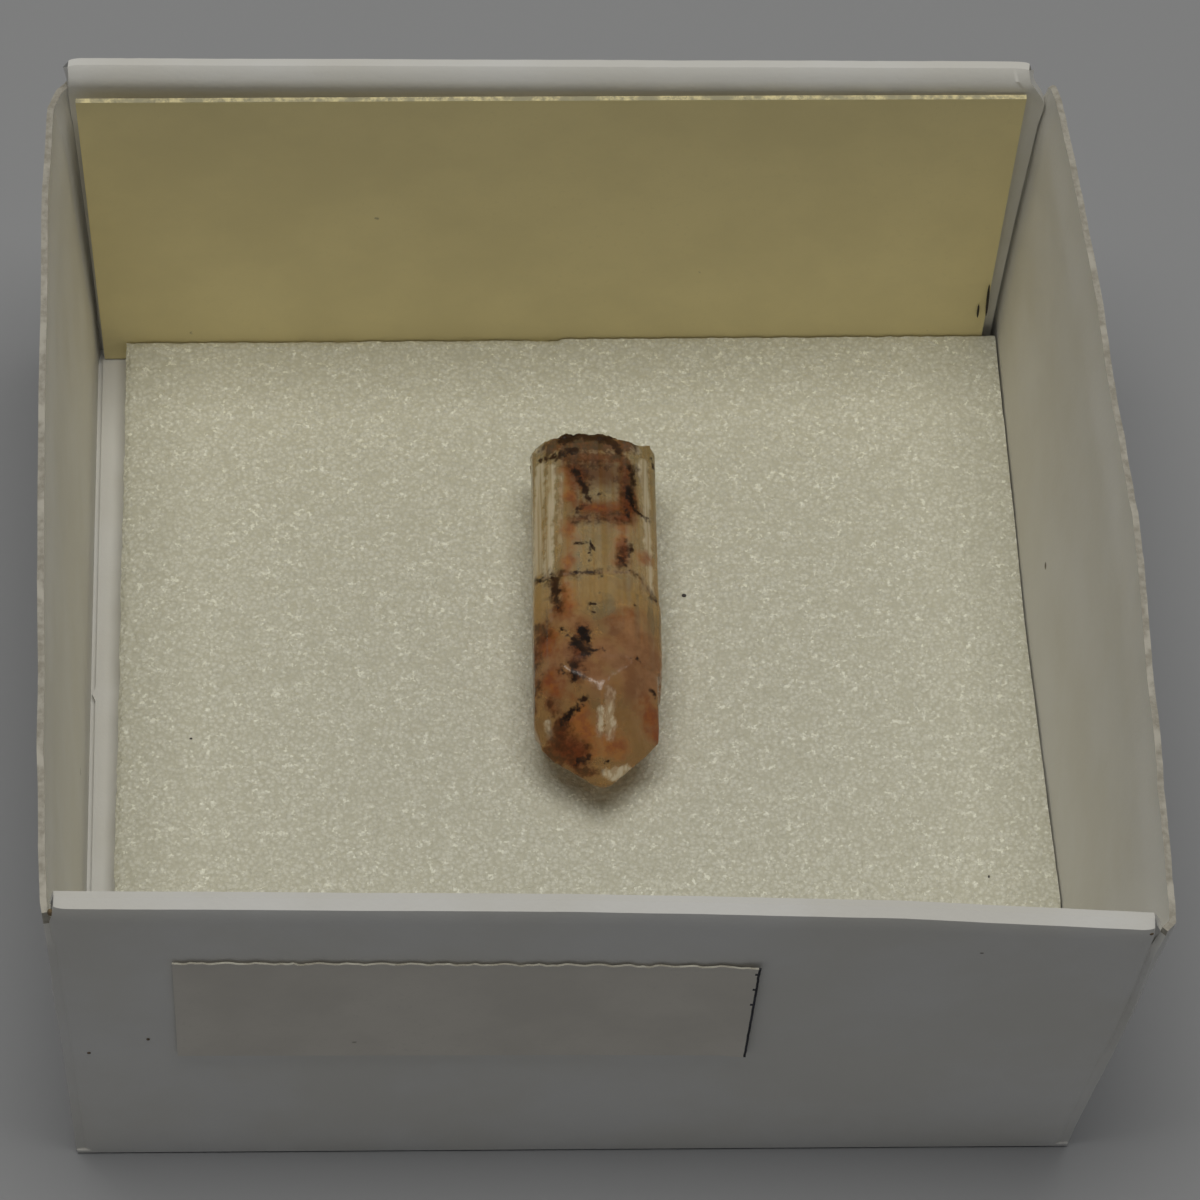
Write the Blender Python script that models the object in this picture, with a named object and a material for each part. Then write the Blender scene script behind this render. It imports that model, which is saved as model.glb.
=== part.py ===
"""A topaz crystal lying on a foam pad in a small folded card specimen tray.

Blender 4.5, metres, +Z up.  The origin is the middle of the tray's underside and the front wall
faces -Y.  Sizes below are in millimetres and mm() turns them into metres.
"""

import math

import bmesh
import bpy
from mathutils import Matrix, Vector

# Tray, a standard 40 mm collector's tray folded from one sheet of card
TRAY_SIDE = 40.0
TRAY_HEIGHT = 20.0
CARD = 0.45             # one leaf of card
FOLD_WALL = 1.0         # front and back walls are folded double
FOLD_ROUND = 0.42       # radius of the soft fold along their tops
FRONT_SHORT = (0.42, 0.35)      # how far the front fold stops short of the side walls, left and right
BACK_SHORT = (-0.2, 0.63)
FOLD_STARTS = 17.5              # height where the folded strip begins to draw in from the corners
CORNER_INSET = 0.12             # the corners between the walls are slightly eased
FOOT = 0.03                     # the walls' feet end just above the underside
WALL_STATIONS = 12
FOLD_LEVELS = 6
SIDE_LEVELS = 6

# The walls lean and bow as worn card does, and the upright corners are rounded
# Each row is the place along the wall, how far its foot and its top stand out, and its height
FRONT_WALL = (
    (-20.0, 0.0, 0.35, 20.0),
    (0.0, 0.0, 0.66, 20.05),
    (12.0, 0.0, 1.0, 20.0),
    (22.0, 0.0, 1.4, 19.6),
)
BACK_WALL = (
    (-20.5, 0.0, 0.50, 20.0),
    (0.0, 0.1, 0.32, 20.0),
    (19.5, 0.3, 0.15, 20.0),
)
LEFT_WALL = (
    (-20.2, 0.0, 0.60, 18.9),
    (-19.4, 0.1, 0.72, 18.9),
    (-12.0, 0.28, 0.98, 19.0),
    (-1.0, 0.3, 1.21, 18.8),
    (9.0, 0.3, 1.36, 18.9),
    (14.0, 0.3, 1.39, 19.0),
    (18.6, 0.3, 1.27, 18.8),
    (19.5, 0.2, 0.95, 18.75),
    (20.3, -0.1, 0.30, 18.7),
)
RIGHT_WALL = (
    (-21.2, 0.0, 2.30, 18.8),
    (-20.5, 0.03, 2.93, 18.7),
    (-15.7, 0.33, 2.86, 18.9),
    (-9.5, 0.51, 2.70, 19.0),
    (-6.7, 0.32, 2.64, 19.0),
    (-2.1, 0.03, 2.53, 18.9),
    (4.1, -0.32, 1.98, 18.8),
    (9.1, -0.47, 1.60, 18.9),
    (13.7, -0.63, 1.12, 18.95),
    (18.7, -0.80, 0.50, 18.9),
    (19.5, -0.85, 0.33, 18.75),
    (20.1, -1.0, -0.20, 18.5),
)
LEAN_POWER = 1.1        # a side wall leaves the floor crease a little steeper than it goes on

# Foam pad, cut by hand from a thin sheet
CLEAR = 0.06            # gap kept between pieces that touch
FOAM_TOP = 2.0
FOAM_CORNERS = (
    (-18.72, -18.75),
    (19.7, -18.75),
    (20.05, -9.5),
    (19.3, 4.1),
    (18.95, 13.7),
    (18.65, 18.72),
    (-18.65, 18.6),
)
FOAM_EDGE_ROUND = 0.15
FOAM_UNDERCUT = 0.16    # the knife slanted, so the underside is a little smaller
FOAM_CUTS = 14          # how finely the hand-cut edge wavers
FOAM_WAVER = 0.05

# Name card, left blank, standing between the foam and the back wall
NAME_CARD_THICK = 0.25
NAME_CARD_BACK = (18.92, 19.06)         # at the left and at the right
NAME_CARD_OUTLINE = ((-19.6, 0.55), (18.15, 0.55), (19.05, 18.8), (-20.1, 18.95))

# Paper sticker, left blank, on the front wall
STICKER_THICK = 0.1
STICKER_LEFT = -15.7
STICKER_RIGHT = (7.05, 6.7)             # at the top and at the bottom
STICKER_TOP = (16.0, 16.0)              # at the left and at the right
STICKER_BOTTOM = (8.4, 8.45)
STICKER_TEETH = 38                      # the torn perforation along its top

# Topaz, its c axis along Y with the point towards -Y and its a axis up
# The face angles follow from the mineral's axial ratio
AXIS_A = 4.65
AXIS_B = 8.80
AXIS_C = 8.40
CRYSTAL_X = 1.25
CRYSTAL_HALF_WIDTH = 2.63
CRYSTAL_HALF_THICK = 2.2
CRYSTAL_TIP_Y = -5.80
CRYSTAL_BREAK_Y = 10.85
CRACK_Y = 3.6                           # the cleavage crack that crosses the crystal
TOP_FACE_HALF = 1.45                    # half the width of the face that looks up
TOP_FACE_CROWN = 0.06                   # that face is very slightly roofed
STRIA_DEPTH = 0.05                      # depth of the lengthwise striations
STRIAE_PER_PANEL = 5
TIP_SHIFT = 0.2                         # the point stands a little to the right of the middle
TIP_BLUNT = 0.16
LEFT_POINT_FACE = (1.3, -1.0, 1.36)     # the point's left faces are blunter than its right ones
SWELL_MOST = 0.07
CRYSTAL_Z = FOAM_TOP + CLEAR + CRYSTAL_HALF_THICK + SWELL_MOST / 2

# Growth steps of the pointed half: swell, shift to the right, and where each starts and ends
GROWTH_STEPS = (
    (0.03, 0.0, CRYSTAL_TIP_Y - 0.5, CRACK_Y),
    (0.07, 0.03, -0.45, 2.65),
    (0.06, 0.02, CRYSTAL_TIP_Y - 0.4, -0.8),
)
# The broken root, a rough cleavage: places from the middle of the break, and directions
BREAK_PLANES = (
    (0.0, CRYSTAL_BREAK_Y, 0.0, (0.03, 1.0, 0.08)),
    (1.6, CRYSTAL_BREAK_Y - 0.05, 0.0, (0.45, 1.0, 0.0)),
    (-2.2, CRYSTAL_BREAK_Y - 0.05, 1.2, (-0.55, 1.0, 0.35)),
    (0.2, CRYSTAL_BREAK_Y - 0.12, 2.0, (0.1, 0.8, 0.9)),
    (0.5, CRYSTAL_BREAK_Y - 0.1, -1.5, (0.0, 1.0, -0.4)),
)
# Shell-shaped chips: centre, radius and proportions
CHIPS = (
    ((-0.3, 12.1, 6.6), 1.5, (1.3, 1.0, 0.8)),
    ((2.7, 11.9, 6.1), 1.4, (1.0, 1.2, 1.0)),
    ((1.2, 12.3, 5.2), 1.7, (1.0, 1.0, 1.2)),
    ((-1.75, -4.6, 5.5), 0.8, (1.0, 1.5, 1.0)),
    ((4.3, -0.62, 4.6), 0.55, (1.0, 0.5, 1.4)),
)

COLOURS = {
    "card_tray": (0.62, 0.60, 0.55, 0.85, 0.0),
    "foam_pad": (0.66, 0.64, 0.55, 0.9, 0.0),
    "name_card": (0.60, 0.55, 0.36, 0.8, 0.0),
    "number_sticker": (0.62, 0.60, 0.56, 0.7, 0.0),
    "topaz_crystal": (0.50, 0.27, 0.12, 0.12, 0.0),
}


def mm(*values):
    """Millimetres to a point in metres."""
    return Vector([value * 0.001 for value in values])


def clear_scene():
    for thing in list(bpy.data.objects):
        bpy.data.objects.remove(thing, do_unlink=True)


def material(name):
    red, green, blue, roughness, metallic = COLOURS[name]
    made = bpy.data.materials.new(name)
    made.use_nodes = True
    shader = made.node_tree.nodes["Principled BSDF"]
    shader.inputs["Base Color"].default_value = (red, green, blue, 1.0)
    shader.inputs["Roughness"].default_value = roughness
    shader.inputs["Metallic"].default_value = metallic
    return made


def finish(name, bm):
    """Turn a bmesh into the named object, with its faces pointing out."""
    bmesh.ops.remove_doubles(bm, verts=bm.verts, dist=1e-7)
    bmesh.ops.recalc_face_normals(bm, faces=bm.faces)
    bmesh.ops.triangulate(bm, faces=bm.faces)
    mesh = bpy.data.meshes.new(name)
    bm.to_mesh(mesh)
    bm.free()
    made = bpy.data.objects.new(name, mesh)
    bpy.context.scene.collection.objects.link(made)
    return made


def loft(name, rings):
    """A closed solid through rings of equal length, with both end rings filled."""
    bm = bmesh.new()
    loops = [[bm.verts.new(point) for point in ring] for ring in rings]
    count = len(rings[0])
    for near, far in zip(loops, loops[1:]):
        for i in range(count):
            j = (i + 1) % count
            bm.faces.new((near[i], near[j], far[j], far[i]))
    bm.faces.new(loops[0])
    bm.faces.new(loops[-1])
    return finish(name, bm)


def combine(base, other, operation):
    """Apply an exact Boolean of other onto base and drop other."""
    cut = base.modifiers.new(operation.lower(), "BOOLEAN")
    cut.operation = operation
    cut.solver = "EXACT"
    cut.object = other
    bpy.context.view_layer.update()
    evaluated = base.evaluated_get(bpy.context.evaluated_depsgraph_get())
    result = bpy.data.meshes.new_from_object(evaluated)
    base.modifiers.clear()
    base.data = result
    bpy.data.objects.remove(other, do_unlink=True)
    return base


def lerp(pair, share):
    return pair[0] + (pair[1] - pair[0]) * share


def blend(first, second, share):
    return [low + (high - low) * share for low, high in zip(first, second)]


def along_rows(rows, place):
    """What a wall's rows give at a place along it, between the rows on either side."""
    for first, second in zip(rows, rows[1:]):
        if place <= second[0]:
            share = max((place - first[0]) / (second[0] - first[0]), 0.0)
            return blend(first[1:], second[1:], share)
    return rows[-1][1:]


def stands_out(rows, place, z, power=1.0):
    """How far a wall's outer face stands out from the tray's square at a height."""
    foot, top, height = along_rows(rows, place)
    return foot + (top - foot) * (max(z, 0.0) / height) ** power


def side_outer(rows, y, z):
    """Half-width of the tray at a side wall's outer face."""
    return TRAY_SIDE / 2 + stands_out(rows, y, z, LEAN_POWER)


def front_face_y(x, z):
    return -TRAY_SIDE / 2 - stands_out(FRONT_WALL, x, z)


def back_face_y(x, z):
    return TRAY_SIDE / 2 + stands_out(BACK_WALL, x, z)


def fold_profile():
    """Cross-section of a folded wall: depth from its outer face, and height."""
    levels = [FOOT + (TRAY_HEIGHT - FOLD_ROUND - FOOT) * step / FOLD_LEVELS for step in range(FOLD_LEVELS)]
    profile = [(0.0, z) for z in levels]
    for centre, first in ((FOLD_ROUND, 180.0), (FOLD_WALL - FOLD_ROUND, 90.0)):
        for step in range(5):
            angle = math.radians(first - 22.5 * step)
            rise = FOLD_ROUND * math.sin(angle)
            profile.append((centre + FOLD_ROUND * math.cos(angle), TRAY_HEIGHT - FOLD_ROUND + rise))
    return profile + [(FOLD_WALL, z) for z in reversed(levels)]


def folded_wall(name, rows, face_y, inward, ends_short):
    """The front or back wall.  It runs into the side walls, and its fold stops short of them."""
    rings = []
    for station in range(WALL_STATIONS + 1):
        ring = []
        for depth, level in fold_profile():
            tucked = max(level - FOLD_STARTS, 0.0) / (TRAY_HEIGHT - FOLD_STARTS)
            reach = inward * depth * (1.0 - tucked)
            left_y = face_y(-TRAY_SIDE / 2, level) + reach
            right_y = face_y(TRAY_SIDE / 2, level) + reach
            left = CORNER_INSET + ends_short[0] * tucked - side_outer(LEFT_WALL, left_y, level)
            right = side_outer(RIGHT_WALL, right_y, level) - CORNER_INSET - ends_short[1] * tucked
            x = lerp((left, right), station / WALL_STATIONS)
            z = FOOT + (level - FOOT) * along_rows(rows, x)[2] / TRAY_HEIGHT
            ring.append(mm(x, face_y(x, z) + inward * depth, z))
        rings.append(ring)
    return loft(name, rings)


def side_wall(name, rows, side):
    """A single leaf that leans outwards, its foot on the floor's edge."""
    half = TRAY_SIDE / 2
    rises = [(step / SIDE_LEVELS) for step in range(SIDE_LEVELS + 1)]
    count = 2 * WALL_STATIONS
    rings = []
    for station in range(count + 1):
        share = (1.0 - math.cos(math.pi * station / count)) / 2
        outer = []
        for rise in rises:
            reach = side * (half + rise)
            ends = (front_face_y(reach, rise * TRAY_HEIGHT) + CORNER_INSET,
                    back_face_y(reach, rise * TRAY_HEIGHT) - CORNER_INSET)
            y = lerp(ends, share)
            z = FOOT + (along_rows(rows, y)[2] - FOOT) * rise
            outer.append((side_outer(rows, y, z), y, z))
        inner = [(x - CARD, y, z) for x, y, z in reversed(outer)]
        rings.append([mm(side * x, y, z) for x, y, z in outer + inner])
    return loft(name, rings)


def tray_floor():
    """One flat sheet whose side edges follow the feet of the side walls."""
    ease = 0.03
    rings = []
    for station in range(WALL_STATIONS + 1):
        y = (TRAY_SIDE / 2 - ease) * (2 * station / WALL_STATIONS - 1)
        left = ease - side_outer(LEFT_WALL, y, 0.0)
        right = side_outer(RIGHT_WALL, y, 0.0) - ease
        rings.append([mm(x, y, z) for x, z in ((left, 0.0), (right, 0.0), (right, CARD), (left, CARD))])
    return loft("card_tray", rings)


def card_tray():
    tray = tray_floor()
    for wall in (
        folded_wall("front_wall", FRONT_WALL, front_face_y, 1, FRONT_SHORT),
        folded_wall("back_wall", BACK_WALL, back_face_y, -1, BACK_SHORT),
        side_wall("left_wall", LEFT_WALL, -1),
        side_wall("right_wall", RIGHT_WALL, 1),
    ):
        combine(tray, wall, "UNION")
    return tray


def foam_pad():
    """A thin slab whose edges waver as a knife cut does."""
    outline = []
    corners = [Vector(corner) for corner in FOAM_CORNERS]
    for number, corner in enumerate(corners):
        following = corners[(number + 1) % len(corners)]
        run = following - corner
        across = Vector((-run.y, run.x)).normalized()
        for cut in range(FOAM_CUTS):
            share = cut / FOAM_CUTS
            waver = FOAM_WAVER * math.sin(9.4 * share * run.length / 10 + number) * math.sin(math.pi * share)
            outline.append(corner + run * share + across * (waver + FOAM_WAVER * math.sin(math.pi * share)))
    middle = Vector((0.0, 0.0))
    rings = []
    bottom = CARD + CLEAR
    for inset, z in (
        (FOAM_UNDERCUT, bottom),
        (0.0, FOAM_TOP - 3 * FOAM_EDGE_ROUND),
        (FOAM_EDGE_ROUND * 0.3, FOAM_TOP - FOAM_EDGE_ROUND * 0.4),
        (FOAM_EDGE_ROUND, FOAM_TOP),
    ):
        ring = []
        for point in outline:
            inward = (middle - point).normalized() * inset
            ring.append(mm(point.x + inward.x, point.y + inward.y, z))
        rings.append(ring)
    return loft("foam_pad", rings)


def name_card():
    rings = []
    for thick in (NAME_CARD_THICK, 0.0):
        ring = []
        for x, z in NAME_CARD_OUTLINE:
            ring.append(mm(x, lerp(NAME_CARD_BACK, x / TRAY_SIDE + 0.5) - thick, z))
        rings.append(ring)
    return loft("name_card", rings)


def number_sticker():
    """A thin label that follows the leaning front wall, with a torn upper edge."""
    rings = []
    for station in range(STICKER_TEETH + 1):
        share = station / STICKER_TEETH
        tooth = 0.12 if station % 2 else 0.0
        ring = []
        for rise, back in ((0.0, False), (0.5, False), (1.0, False), (1.0, True), (0.5, True), (0.0, True)):
            right = lerp((STICKER_RIGHT[1], STICKER_RIGHT[0]), rise)
            x = lerp((STICKER_LEFT, right), share)
            z = lerp((lerp(STICKER_BOTTOM, share), lerp(STICKER_TOP, share) - tooth), rise)
            lift = CLEAR if back else CLEAR + STICKER_THICK
            ring.append(mm(x, front_face_y(x, z) - lift, z))
        rings.append(ring)
    return loft("number_sticker", rings)


def face_normal(h, k, l):
    """Outward direction of a crystal face from its indices: a is up, b across and c towards -Y."""
    return Vector((k / AXIS_B, -l / AXIS_C, h / AXIS_A)).normalized()


def cut_away(bm, point, normal):
    """Cut off what lies beyond a plane and close the cut."""
    geometry = bm.verts[:] + bm.edges[:] + bm.faces[:]
    bmesh.ops.bisect_plane(bm, geom=geometry, plane_co=point, plane_no=normal, clear_outer=True, dist=1e-8)
    rim = [edge for edge in bm.edges if edge.is_boundary]
    bmesh.ops.holes_fill(bm, edges=rim)


def convex_solid(name, centre, size, planes):
    """A block cut by planes, each given as a point in millimetres and an outward direction."""
    bm = bmesh.new()
    bmesh.ops.create_cube(bm, size=1.0)
    bmesh.ops.scale(bm, vec=mm(*size), verts=bm.verts)
    bmesh.ops.translate(bm, vec=mm(*centre), verts=bm.verts)
    for point, normal in planes:
        cut_away(bm, mm(*point), Vector(normal).normalized())
    return finish(name, bm)


def prism_corners(half_width, half_thick):
    """The prism's cross-section from the middle of the top face to the middle of its right side.

    From the top face it turns through the {110} and {120} faces, at the angles that the axial
    ratio gives, to an upright face at the side.
    """
    run = (half_width - TOP_FACE_HALF) / 2
    drop = run * AXIS_A / AXIS_B
    corners = [(0.0, half_thick), (TOP_FACE_HALF, half_thick - TOP_FACE_CROWN)]
    corners.append((TOP_FACE_HALF + run, corners[-1][1] - drop))
    corners.append((half_width, corners[-1][1] - 2 * drop))
    corners.append((half_width, 0.0))
    return [Vector(corner) for corner in corners]


def striated(corners, seed):
    """Step each straight run of an outline, as growth striations do."""
    points = []
    for number, (first, second) in enumerate(zip(corners, corners[1:])):
        run = second - first
        inward = Vector((run.y, -run.x)).normalized()
        points.append(first)
        for step in range(1, STRIAE_PER_PANEL + 1):
            share = (step + 0.22 * math.sin(2.3 * step + 1.7 * number + seed)) / (STRIAE_PER_PANEL + 1)
            groove = STRIA_DEPTH * (0.6 + 0.4 * math.sin(4.1 * step + number + seed)) * (step % 2)
            points.append(first + run * share + inward * groove)
    return points


def crystal_prism(name, swell, y_near, y_far, shift=0.0):
    """A striated length of the prism between two places along Y."""
    corners = prism_corners(CRYSTAL_HALF_WIDTH + swell, CRYSTAL_HALF_THICK + swell / 2)
    corner_left = [Vector((point.x, point.y)) for point in corners]
    right_top = striated(corners, 0.0)
    left_top = striated(corner_left, 1.3)
    right_bottom = striated(corners, 2.1)
    left_bottom = striated(corner_left, 3.2)
    outline = [(point.x, point.y) for point in right_top]
    outline += [(CRYSTAL_HALF_WIDTH + swell, 0.0)]
    outline += [(point.x, -point.y) for point in reversed(right_bottom)]
    outline += [(-point.x, -point.y) for point in left_bottom[1:]]
    outline += [(-CRYSTAL_HALF_WIDTH - swell, 0.0)]
    outline += [(-point.x, point.y) for point in reversed(left_top[1:])]
    rings = []
    for y in (y_near, y_far):
        rings.append([mm(CRYSTAL_X + shift + x, y, CRYSTAL_Z + z) for x, z in outline])
    return loft(name, rings)


def scoop(crystal, centre, radius, squash=(1.0, 1.0, 1.0)):
    """Take a shell-shaped chip out of the crystal."""
    bm = bmesh.new()
    bmesh.ops.create_icosphere(bm, subdivisions=3, radius=radius * 0.001)
    bmesh.ops.scale(bm, vec=squash, verts=bm.verts)
    bmesh.ops.rotate(bm, matrix=Matrix.Rotation(0.7, 3, (0.3, 0.8, 0.5)), verts=bm.verts)
    bmesh.ops.translate(bm, vec=mm(*centre), verts=bm.verts)
    combine(crystal, finish("chip", bm), "DIFFERENCE")


def topaz_crystal():
    """The prism with its pyramid point and broken root, with a step at the cleavage crack."""
    crystal = crystal_prism("topaz_crystal", 0.0, CRACK_Y - 0.2, CRYSTAL_BREAK_Y + 0.5)
    for swell, shift, y_near, y_far in GROWTH_STEPS:
        combine(crystal, crystal_prism("step", swell, y_near, y_far, shift), "UNION")
    tip = (CRYSTAL_X + TIP_SHIFT, CRYSTAL_TIP_Y, CRYSTAL_Z)
    up, across, along = LEFT_POINT_FACE
    planes = [(tip, face_normal(h, 1, 1)) for h in (-1, 1)]
    planes += [(tip, face_normal(h * up, across, along)) for h in (-1, 1)]
    blunt = (tip[0], tip[1] + TIP_BLUNT, tip[2])
    planes += [(blunt, face_normal(h, k, 2)) for h in (-1, 1) for k in (-1, 1)]
    planes += [((tip[0], tip[1] + 2 * TIP_BLUNT, tip[2]), (0.06, -1.0, 0.12))]
    planes += [((tip[0] + x, y, tip[2] + z), normal) for x, y, z, normal in BREAK_PLANES]
    middle_y = (CRYSTAL_TIP_Y + CRYSTAL_BREAK_Y) / 2
    envelope = convex_solid("envelope", (CRYSTAL_X, middle_y, CRYSTAL_Z), (9.0, 22.0, 9.0), planes)
    combine(crystal, envelope, "INTERSECT")
    for centre, radius, squash in CHIPS:
        scoop(crystal, centre, radius, squash)
    return crystal


def main():
    clear_scene()
    for make in (card_tray, foam_pad, name_card, number_sticker, topaz_crystal):
        made = make()
        made.data.materials.clear()
        made.data.materials.append(material(made.name))


main()
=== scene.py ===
"""Topaz crystal on foam in a small folded card tray: the looks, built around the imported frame.

Sizes are in millimetres unless a name says otherwise; mm() turns them into metres.
"""

import math

import bmesh
import bpy
from bpy.props import FloatProperty, FloatVectorProperty, IntProperty, PointerProperty
from mathutils import Matrix, Vector, noise


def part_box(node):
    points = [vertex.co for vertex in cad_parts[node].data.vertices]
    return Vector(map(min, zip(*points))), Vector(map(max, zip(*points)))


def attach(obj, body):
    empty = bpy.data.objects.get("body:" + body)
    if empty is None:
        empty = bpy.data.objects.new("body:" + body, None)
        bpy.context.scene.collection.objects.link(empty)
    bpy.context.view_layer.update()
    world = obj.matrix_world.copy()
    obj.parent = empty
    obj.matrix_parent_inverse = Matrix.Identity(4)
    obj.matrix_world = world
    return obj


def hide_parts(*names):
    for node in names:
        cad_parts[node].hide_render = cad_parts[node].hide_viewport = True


bl_info = {
    "name": "Topaz in a specimen tray",
    "version": (1, 0, 0),
    "blender": (4, 5, 0),
    "location": "3D View > Sidebar > Topaz",
    "description": "Builds a stained topaz crystal on foam in a folded card tray",
    "category": "Add Mesh",
}

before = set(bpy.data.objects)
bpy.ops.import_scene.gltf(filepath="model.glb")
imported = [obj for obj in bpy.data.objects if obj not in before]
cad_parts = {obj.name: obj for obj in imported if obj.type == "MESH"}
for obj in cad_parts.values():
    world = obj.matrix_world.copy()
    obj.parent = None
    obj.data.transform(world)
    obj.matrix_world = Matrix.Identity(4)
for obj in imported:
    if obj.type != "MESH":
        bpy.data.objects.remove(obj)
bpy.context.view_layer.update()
MM = 0.001
BODY = "root"

# Tray, as the frame's solids have it
TRAY_SIDE = 40.0
TRAY_HEIGHT = 20.0
FOOT = 0.03
FOLD_WALL = 1.0
FRONT_SHORT = (0.42, 0.35)
BACK_SHORT = (-0.2, 0.63)
FOLD_STARTS = 17.5
INNER_GAP = 0.17
CORNER_INSET = 0.12
CORNER_ROUND = 0.6
LEAN_POWER = 1.1
# The side walls' upper edge: raw core shows above RAW_ABOVE, and it is pressed thinner
RAW_ABOVE = 18.2
PRESSED = (16.0, 18.7)
PRESSED_SHARE = 0.62
# Each wall row: place along the wall, how far its foot and its top stand out, and its height
FRONT_WALL = (
    (-20.0, 0.0, 0.35, 20.0),
    (0.0, 0.0, 0.66, 20.05),
    (12.0, 0.0, 1.0, 20.0),
    (22.0, 0.0, 1.4, 19.6),
)
BACK_WALL = (
    (-20.5, 0.0, 0.50, 20.0),
    (0.0, 0.1, 0.32, 20.0),
    (19.5, 0.3, 0.15, 20.0),
)
LEFT_WALL = (
    (-20.2, 0.0, 0.60, 18.9),
    (-19.4, 0.1, 0.72, 18.9),
    (-12.0, 0.28, 0.98, 19.0),
    (-1.0, 0.3, 1.21, 18.8),
    (9.0, 0.3, 1.36, 18.9),
    (14.0, 0.3, 1.39, 19.0),
    (18.6, 0.3, 1.27, 18.8),
    (19.5, 0.2, 0.95, 18.75),
    (20.3, -0.1, 0.30, 18.7),
)
RIGHT_WALL = (
    (-21.2, 0.0, 2.30, 18.8),
    (-20.5, 0.03, 2.93, 18.7),
    (-15.7, 0.33, 2.86, 18.9),
    (-9.5, 0.51, 2.70, 19.0),
    (-6.7, 0.32, 2.64, 19.0),
    (-2.1, 0.03, 2.53, 18.9),
    (4.1, -0.32, 1.98, 18.8),
    (9.1, -0.47, 1.60, 18.9),
    (13.7, -0.63, 1.12, 18.95),
    (18.7, -0.80, 0.50, 18.9),
    (19.5, -0.85, 0.33, 18.75),
    (20.1, -1.0, -0.20, 18.5),
)

# Foam, name card and sticker; the foam's left edge is rows of a place along it and its x
FOAM_LEFT = ((-18.75, -18.72), (18.65, -18.65))
FOAM_FRONT = -18.75
FOAM_BACK = (18.6, 18.72)
FOAM_BOTTOM = 0.51
FOAM_TOP = 2.0
FOAM_UNDERCUT = 0.2
DENT_AT = (1.25, 3.4)
DENT_DEPTH = 0.08
NAME_CARD_BACK = (18.92, 19.06)
NAME_CARD_THICK = 0.25
NAME_CARD_LEAF = 0.22
NAME_CARD_OUTLINE = ((-19.6, 0.55), (18.15, 0.55), (19.05, 18.8), (-20.1, 18.95))
STICKER_LEFT = -15.7
STICKER_RIGHT = (7.05, 6.7)
STICKER_TOP = (16.0, 16.0)
STICKER_BOTTOM = (8.4, 8.45)
STICKER_TEETH = 38
STICKER_LEAF = 0.07
CLEAR = 0.06

# Squares along and across each sheet
FOLD_GRID = (120, 84)
SIDE_GRID = (170, 52)
FLOOR_GRID = (8, 120)
FOAM_GRID = (232, 224)
NAME_CARD_GRID = (90, 44)
STICKER_GRID = (228, 48)
CRYSTAL_SMOOTHINGS = 10

# Colours that aren't settings: a finish's paler shade, then its darker one
CARD_EDGE = ((0.52, 0.49, 0.42), (0.36, 0.33, 0.27))
BROWN_DIRT = ((0.24, 0.17, 0.09), (0.08, 0.06, 0.05))
DARK_DIRT = ((0.06, 0.05, 0.05), (0.02, 0.02, 0.02))
DARK_NICK = ((0.05, 0.04, 0.03), (0.02, 0.02, 0.02))
TORN_PAPER = ((0.90, 0.86, 0.72), (0.70, 0.65, 0.52))
# Painted shadow along the sticker's lifted right end
PAINTED_SHADOW_EDGE = ((0.05, 0.05, 0.06), (0.02, 0.02, 0.02))
CARD_SPECK = (0.16, 0.13, 0.10)
PAPER_SPECK = (0.18, 0.14, 0.08)

# Stone, with the shades that its stains fade between
CLEAR_AT_ROOT = ((0.92, 0.67, 0.28), (1.0, 0.85, 0.50))
# Whitish haze, also the colour of the painted highlight on the point's ridge
MILK_AND_PAINTED_SHEEN = (0.96, 0.84, 0.60)
DEEP_ROSE = (0.36, 0.15, 0.07)
ROOT_BROWN = (0.17, 0.035, 0.006)
RED_RUST = (0.36, 0.09, 0.03)
DARK_EARTH = (0.045, 0.013, 0.004)
IRON_BLACK = ((0.012, 0.006, 0.003), (0.055, 0.024, 0.010))
STONE_IOR = 1.62
STONE_TINT = (0.90, 0.72, 0.40, 1.0)
STONE_DENSITY = 90.0

# Dirt and torn bits: place, then half-sizes along x, y and z
FOAM_DIRT = (
    ((5.05, 5.42, 1.97), (0.10, 0.08, 0.05)),
    ((-15.6, -1.53, 1.95), (0.06, 0.04, 0.05)),
    ((17.27, -8.43, 1.96), (0.04, 0.06, 0.05)),
)
WALL_DIRT = (
    ((-19.20, -20.13, 8.44), (0.08, 0.04, 0.06)),
    ((-16.83, -20.17, 9.56), (0.07, 0.04, 0.07)),
    ((15.49, -20.93, 17.23), (0.12, 0.04, 0.05)),
    ((-20.24, -20.10, 19.30), (0.12, 0.10, 0.22)),
    ((21.80, -21.20, 19.05), (0.16, 0.06, 0.12)),
)
CARD_NICKS = (
    ((17.94, 18.70, 3.80), (0.05, 0.03, 0.50)),
    ((18.30, 18.69, 4.60), (0.06, 0.03, 1.20)),
    ((18.20, 18.69, 1.50), (0.10, 0.03, 0.35)),
)

CRACK_Y = 3.6
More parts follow.
